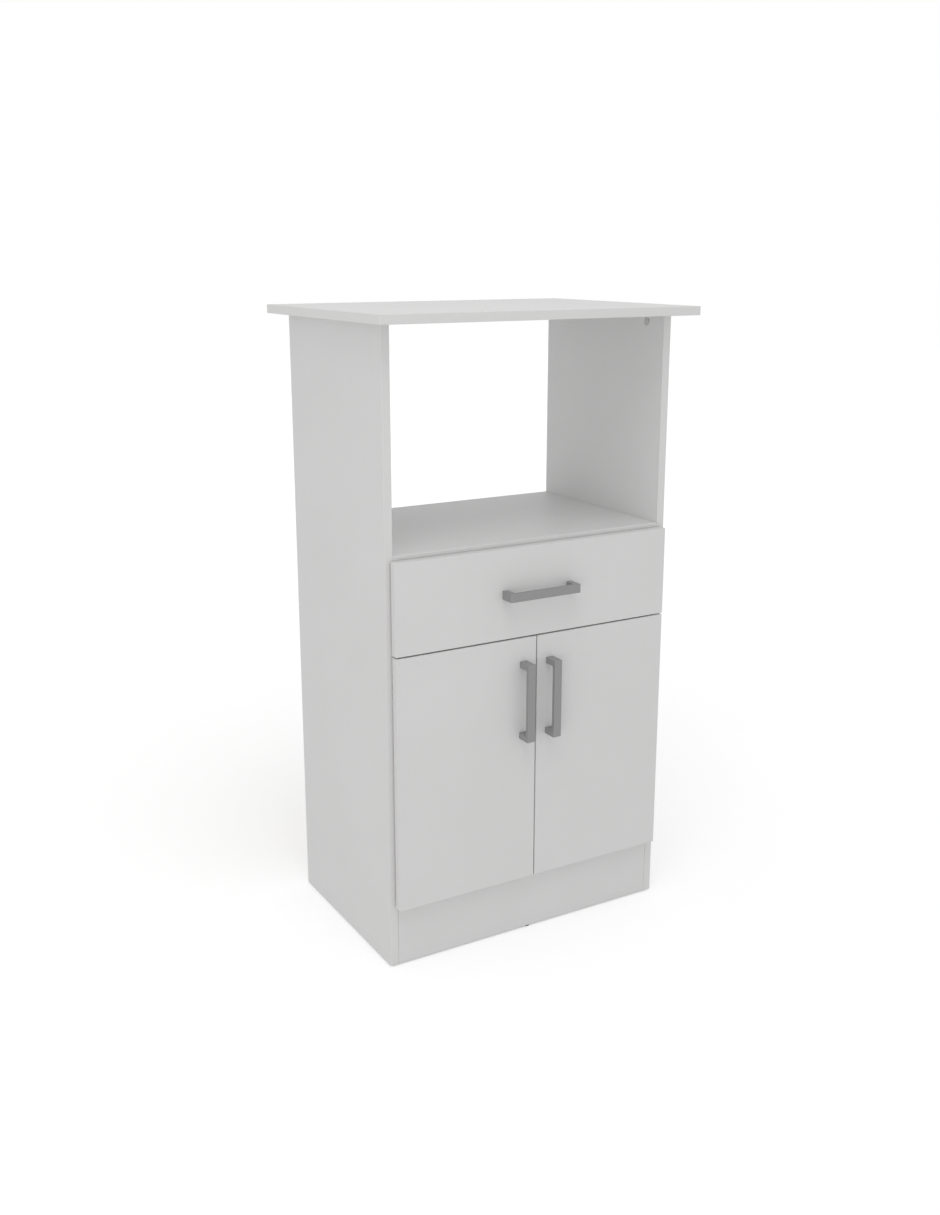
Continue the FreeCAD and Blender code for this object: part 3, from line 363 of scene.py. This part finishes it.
NYLON = skinned(
    "nylon", shade={"scale": 260.0, "first": DULL_NYLON, "second": MILKY_NYLON}, skin_scale=1500.0,
    gloss={"low": 0.35, "high": 0.5}, relief={"strength": 0.1, "distance": 0.0002},
    constants={"Subsurface Weight": 0.15, "Subsurface Radius": (0.002, 0.002, 0.0016)},
)
GLIDE_PLASTIC = skinned(
    "dark_plastic", shade={"scale": 500.0, "first": grey(0.02), "second": grey(0.035)}, skin_scale=1500.0,
    gloss={"low": 0.45, "high": 0.65}, relief={"strength": 0.2, "distance": 0.0002},
)
DOWEL_WOOD = beech()

FINISHES = {
    UPRIGHT_BOARD: ["left_side", "right_side", "drawer_left_side", "drawer_right_side"],
    FRONT_BOARD: ["kick_plate", "rear_rail", "drawer_front", "drawer_back", "left_door", "right_door"],
    LEVEL_BOARD: ["top_panel", "niche_shelf", "base_panel", "inner_shelf"],
    BACK_SHEET: ["back_panel"],
    TRAY_SHEET: ["drawer_bottom"],
    HANDLE_PAINT: ["drawer_handle", "left_door_handle", "right_door_handle"],
    STEEL: ["cam_bolts", "drawer_bolts", "left_hinge_pins", "right_hinge_pins"],
    NYLON: ["left_front_roller", "right_front_roller", "left_rear_roller", "right_rear_roller"],
    DOWEL_WOOD: ["dowels"],
}
for finish, names in FINISHES.items():
    for name in names:
        NODES[name].data.materials.clear()
        NODES[name].data.materials.append(finish)


# Pieces modelled over the plain solids of small fittings; lengths in metres

MERGE = 0.000002
SMOOTH_ANGLE = math.radians(32)
FLAT_ANGLE = math.radians(0.5)
SHARP_ANGLE = math.radians(50)
BREAK_STEPS = 2


def finished(shape, node, finish):
    """Turn a modelled shape into the piece that stands for a CAD node and moves with its body."""
    mesh = bpy.data.meshes.new(node + "_piece")
    shape.to_mesh(mesh)
    shape.free()
    mesh.shade_smooth()
    mesh.set_sharp_from_angle(angle=SMOOTH_ANGLE)
    mesh.materials.append(finish)
    piece = bpy.data.objects.new(node + "_piece", mesh)
    bpy.context.scene.collection.objects.link(piece)
    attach(piece, BODY_OF[node])
    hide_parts(node)


def merged_copy(node):
    """A copy of a CAD node's mesh with its loose triangles joined."""
    shape = bmesh.new()
    shape.from_mesh(NODES[node].data)
    bmesh.ops.remove_doubles(shape, verts=shape.verts, dist=MERGE)
    return shape


def solids_of(node):
    """The lowest and highest corners of each separate solid of a CAD node."""
    shape = merged_copy(node)
    waiting = set(shape.verts)
    boxes = []
    while waiting:
        reached = {waiting.pop()}
        newest = list(reached)
        while newest:
            near = {link.other_vert(vert) for vert in newest for link in vert.link_edges} - reached
            reached |= near
            newest = list(near)
        waiting -= reached
        corners = list(zip(*(vert.co for vert in reached)))
        boxes.append((Vector(map(min, corners)), Vector(map(max, corners))))
    shape.free()
    return boxes


def softened(node, finish, width):
    """A copy of a pressed, folded or turned solid with its sharp edges broken."""
    shape = merged_copy(node)
    bmesh.ops.dissolve_limit(shape, angle_limit=FLAT_ANGLE, verts=shape.verts, edges=shape.edges)
    sharp = [edge for edge in shape.edges if edge.is_manifold and edge.calc_face_angle(0) > SHARP_ANGLE]
    bmesh.ops.bevel(
        shape, geom=sharp, offset=width, offset_type="OFFSET", affect="EDGES", segments=BREAK_STEPS, profile=0.5,
        material=-1, clamp_overlap=True,
    )
    finished(shape, node, finish)


ARM_SHARE = 0.3
COLLAR_SHARE = 1.15
RECESS_TAPER = 0.7


def cross_face(shape, radius, reach, depth, steps):
    """A flat round face with a cross recess for a driver in its middle; gives back the edges of its rim."""
    bmesh.ops.create_circle(shape, radius=radius, segments=steps, cap_ends=True)
    bmesh.ops.inset_individual(shape, faces=shape.faces[:], thickness=radius - reach * COLLAR_SHARE)
    rim = [edge for edge in shape.edges if edge.is_boundary]
    half_arm = reach * ARM_SHARE
    for way in (X_AXIS, Y_AXIS):
        for place in (-reach, -half_arm, half_arm, reach):
            inner = [face for face in shape.faces if face.calc_center_median().length < reach]
            cut = {item for face in inner for item in (face, *face.edges, *face.verts)}
            bmesh.ops.bisect_plane(shape, geom=list(cut), plane_co=way * place, plane_no=way)
    cross = []
    for face in shape.faces:
        short, long = sorted(map(abs, face.calc_center_median().xy))
        if short < half_arm and long < reach:
            cross.append(face)
    sunk = bmesh.ops.extrude_face_region(shape, geom=cross)
    bmesh.ops.delete(shape, geom=cross, context="FACES")
    floor = [item for item in sunk["geom"] if isinstance(item, bmesh.types.BMVert)]
    bmesh.ops.translate(shape, verts=floor, vec=-Z_AXIS * depth)
    bmesh.ops.scale(shape, verts=floor, vec=(RECESS_TAPER, RECESS_TAPER, 1))
    return rim


def turned(shape, rim, profile):
    """Carry a rim through the depths and radii of a profile, the first of which is the rim's own."""
    for (depth, radius), (next_depth, next_radius) in zip(profile, profile[1:]):
        result = bmesh.ops.extrude_edge_only(shape, edges=rim)
        verts = [item for item in result["geom"] if isinstance(item, bmesh.types.BMVert)]
        rim = [item for item in result["geom"] if isinstance(item, bmesh.types.BMEdge)]
        share = next_radius / radius
        bmesh.ops.translate(shape, verts=verts, vec=-Z_AXIS * (next_depth - depth))
        bmesh.ops.scale(shape, verts=verts, vec=(share, share, 1))


def set_down(target, shape, way, spot):
    """Close a shape, turn its upper face along a way, and add it to a target at a spot."""
    bmesh.ops.holes_fill(shape, edges=shape.edges)
    bmesh.ops.recalc_face_normals(shape, faces=shape.faces)
    turn = Z_AXIS.rotation_difference(way).to_matrix().to_4x4()
    shape.transform(Matrix.Translation(spot) @ turn)
    mesh = bpy.data.meshes.new("shape")
    shape.to_mesh(mesh)
    target.from_mesh(mesh)
    bpy.data.meshes.remove(mesh)
    shape.free()


def face_way(way, middle):
    """A way given as a direction, or as inward or outward across the cabinet."""
    if isinstance(way, Vector):
        return way
    side = -1 if middle.x > 0 else 1
    return X_AXIS * (side if way == "inward" else -side)


def long_way(low, high, way):
    """The middle of a box's end face along a way, and the box's length and greatest width there."""
    size = high - low
    length = abs(size.dot(way))
    width = max(size - Vector(map(abs, way)) * length)
    return (low + high) / 2 + way * (length / 2), length, width


SCREW_STEPS = 24
SCREW_FLAT_SHARE = 0.36
SCREW_SHOULDER_SHARE = 0.47
SCREW_CROSS_SHARE = 0.3
SCREW_CROSS_DEPTH_SHARE = 0.75
SCREW_DOME_SHARE = 0.35
SCREW_EDGE_SHARE = 0.63
SCREW_POINT = 0.003
SCREW_TIP_SHARE = 0.1


def cross_head_screws(node, way, head_height, shank):
    """A set of domed screws with cross recesses, each on the place of its solid."""
    target = bmesh.new()
    for low, high in solids_of(node):
        out = face_way(way, (low + high) / 2)
        top, length, head = long_way(low, high, out)
        shape = bmesh.new()
        flat = head * SCREW_FLAT_SHARE
        recess = head_height * SCREW_CROSS_DEPTH_SHARE
        rim = cross_face(shape, flat, head * SCREW_CROSS_SHARE, recess, SCREW_STEPS)
        turned(shape, rim, [
            (0, flat),
            (head_height * SCREW_DOME_SHARE, head * SCREW_SHOULDER_SHARE),
            (head_height * SCREW_EDGE_SHARE, head / 2),
            (head_height, head / 2),
            (head_height, shank / 2),
            (length - SCREW_POINT, shank / 2),
            (length, shank * SCREW_TIP_SHARE),
        ])
        set_down(target, shape, out, top)
    finished(target, node, STEEL)


# Each step across a cam's face: how far it lies under the end of its solid, and its share of the radius
CAM_PROFILE = [
    (0.0001, 0.56), (0.0003, 0.58), (0.0012, 0.595), (0.0012, 0.86), (0.0003, 0.877), (0.0002, 0.904), (0.0003, 1.0),
]
CAM_STEPS = 48
CAM_CROSS_SHARE = 0.36
CAM_CROSS_DEPTH = 0.0014


def cam_discs(node, side_way, depth):
    """Cam locks: a rim, a dished face and a raised boss with a cross recess."""
    target = bmesh.new()
    for low, high in solids_of(node):
        middle = (low + high) / 2
        size = high - low
        axis = min(range(3), key=lambda index: abs(size[index] - depth))
        out = (face_way(side_way, middle), -Y_AXIS * math.copysign(1, middle.y), -Z_AXIS)[axis]
        top, length, width = long_way(low, high, out)
        radius = width / 2
        profile = [(fall, share * radius) for fall, share in CAM_PROFILE] + [(length, radius)]
        shape = bmesh.new()
        rim = cross_face(shape, profile[0][1], radius * CAM_CROSS_SHARE, CAM_CROSS_DEPTH, CAM_STEPS)
        turned(shape, rim, profile)
        set_down(target, shape, out, top - out * profile[0][0])
    finished(target, node, ZINC)


# Screws: the way that the heads face, their height and the width of the shanks
SCREWS = {
    "hinge_plate_screws": ("inward", 0.0018, 0.004),
    "hinge_arm_screws": ("inward", 0.002, 0.005),
    "left_cup_screws": (Y_AXIS, 0.0014, 0.0035),
    "right_cup_screws": (Y_AXIS, 0.0014, 0.0035),
    "cabinet_runner_screws": ("inward", 0.0014, 0.0035),
    "drawer_runner_screws": (-Z_AXIS, 0.0014, 0.0035),
    "drawer_back_screws": ("outward", 0.0025, 0.004),
    "drawer_handle_screws": (Y_AXIS, 0.0024, 0.004),
    "left_handle_screws": (Y_AXIS, 0.0024, 0.004),
    "right_handle_screws": (Y_AXIS, 0.0024, 0.004),
}
# Cam locks: the way that those in upright boards face, and their depth
CAMS = {"cam_locks": ("inward", 0.012), "drawer_cams": ("outward", 0.009)}
# Fittings with broken edges: their finish, and the width of the break
PAIRED_FITTINGS = {
    "hinge_arms": (STEEL, 0.0004),
    "hinge_plates": (STEEL, 0.0008),
    "hinge_cups": (STEEL, 0.0003),
    "cabinet_runner": (RUNNER_COAT, 0.0004),
    "drawer_runner": (RUNNER_COAT, 0.0004),
}
OTHER_FITTINGS = {
    "shelf_pins": (STEEL, 0.0005),
    "front_roller_axles": (STEEL, 0.0003),
    "rear_roller_axles": (STEEL, 0.0003),
    "glides": (GLIDE_PLASTIC, 0.0004),
}
for node, values in SCREWS.items():
    cross_head_screws(node, *values)
for node, values in CAMS.items():
    cam_discs(node, *values)
for side in ("left", "right"):
    for fitting, values in PAIRED_FITTINGS.items():
        softened(f"{side}_{fitting}", *values)
for node, values in OTHER_FITTINGS.items():
    softened(node, *values)


# Floor, light and camera; places and lengths in metres

AMBIENT = 0.685
FLOOR_SIZE = 12.0
FLOOR_LIFT = {"From Min": 0.5, "From Max": 4.0, "To Min": 0.3, "To Max": 0.44}
LAMP_SIZE = 1.6
LAMP_AIM = Vector((0, 0, 0.8))
# Lamps: their places, and their powers in watts
LAMPS = {"low_lamp": (Vector((-2.6, -2.5, 0.2)), 21), "top_lamp": (Vector((-0.7, -1.25, 3.4)), 16.5)}
CAMERA = {"sensor_width": 36.0, "lens": 38.18, "shift_x": -0.00033, "shift_y": -0.01852, "clip_end": 60.0}
EYE_PLACE = (-1.1547, -1.9520, 1.1890)
EYE_TILT = math.radians(75.5)
EYE_TURN = math.radians(-30.19)


def backdrop_light(tree, dim, bright):
    """Pick the bright value where the camera or a reflection looks straight at the backdrop."""
    path = add(tree, "ShaderNodeLightPath")
    seen = path.outputs["Is Camera Ray"]
    for ray in ("Is Glossy Ray", "Is Transmission Ray"):
        most = add(tree, "ShaderNodeMath", operation="MAXIMUM")
        tree.links.new(seen, most.inputs[0])
        tree.links.new(path.outputs[ray], most.inputs[1])
        seen = most.outputs["Value"]
    return spread(tree, seen, dim, bright)


def white_surround():
    """An even pale surround that looks white behind the cabinet."""
    world = bpy.data.worlds.new("white_surround")
    world.use_nodes = True
    tree = world.node_tree
    surface = tree.nodes["Background"]
    surface.inputs["Color"].default_value = (1, 1, 1, 1)
    tree.links.new(backdrop_light(tree, AMBIENT, 1.0), surface.inputs["Strength"])
    bpy.context.scene.world = world


def pale_floor():
    """A plain floor that looks white away from the cabinet and keeps its soft shadow."""
    shape = bmesh.new()
    bmesh.ops.create_grid(shape, x_segments=1, y_segments=1, size=FLOOR_SIZE)
    mesh = bpy.data.meshes.new("floor")
    shape.to_mesh(mesh)
    shape.free()
    material, tree, shader = new_material("pale_floor")
    shade = use(tree, MOTTLE, scale=1.5, first=grey(0.90), second=grey(0.91))
    tree.links.new(shade.outputs["Color"], shader.inputs["Base Color"])
    shader.inputs["Roughness"].default_value = 0.9
    shader.inputs["Specular IOR Level"].default_value = 0.0
    shader.inputs["Emission Color"].default_value = (1, 1, 1, 1)
    place = add(tree, "ShaderNodeTexCoord")
    away = add(tree, "ShaderNodeVectorMath", operation="LENGTH")
    tree.links.new(place.outputs["Object"], away.inputs[0])
    lift = add(tree, "ShaderNodeMapRange", FLOOR_LIFT)
    tree.links.new(away.outputs["Value"], lift.inputs["Value"])
    seen = add(tree, "ShaderNodeMath", operation="MULTIPLY")
    tree.links.new(backdrop_light(tree, 0.0, 1.0), seen.inputs[0])
    tree.links.new(lift.outputs["Result"], seen.inputs[1])
    tree.links.new(seen.outputs["Value"], shader.inputs["Emission Strength"])
    mesh.materials.append(material)
    floor = bpy.data.objects.new("floor", mesh)
    bpy.context.scene.collection.objects.link(floor)


def soft_lamp(name, spot, power):
    """A broad square lamp that looks at the cabinet."""
    light = bpy.data.lights.new(name, "AREA")
    light.shape = "SQUARE"
    light.size = LAMP_SIZE
    light.energy = power
    lamp = bpy.data.objects.new(name, light)
    lamp.location = spot
    lamp.rotation_euler = (LAMP_AIM - spot).to_track_quat("-Z", "Y").to_euler()
    bpy.context.scene.collection.objects.link(lamp)


def photo_camera():
    """The camera of the photograph, solved from the printed sizes."""
    camera = bpy.data.cameras.new("camera")
    for name, value in CAMERA.items():
        setattr(camera, name, value)
    eye = bpy.data.objects.new("camera", camera)
    eye.location = EYE_PLACE
    eye.rotation_euler = (EYE_TILT, 0, EYE_TURN)
    bpy.context.scene.collection.objects.link(eye)
    bpy.context.scene.camera = eye


white_surround()
pale_floor()
for name, (spot, power) in LAMPS.items():
    soft_lamp(name, spot, power)
photo_camera()
bpy.context.scene.view_settings.view_transform = "Standard"
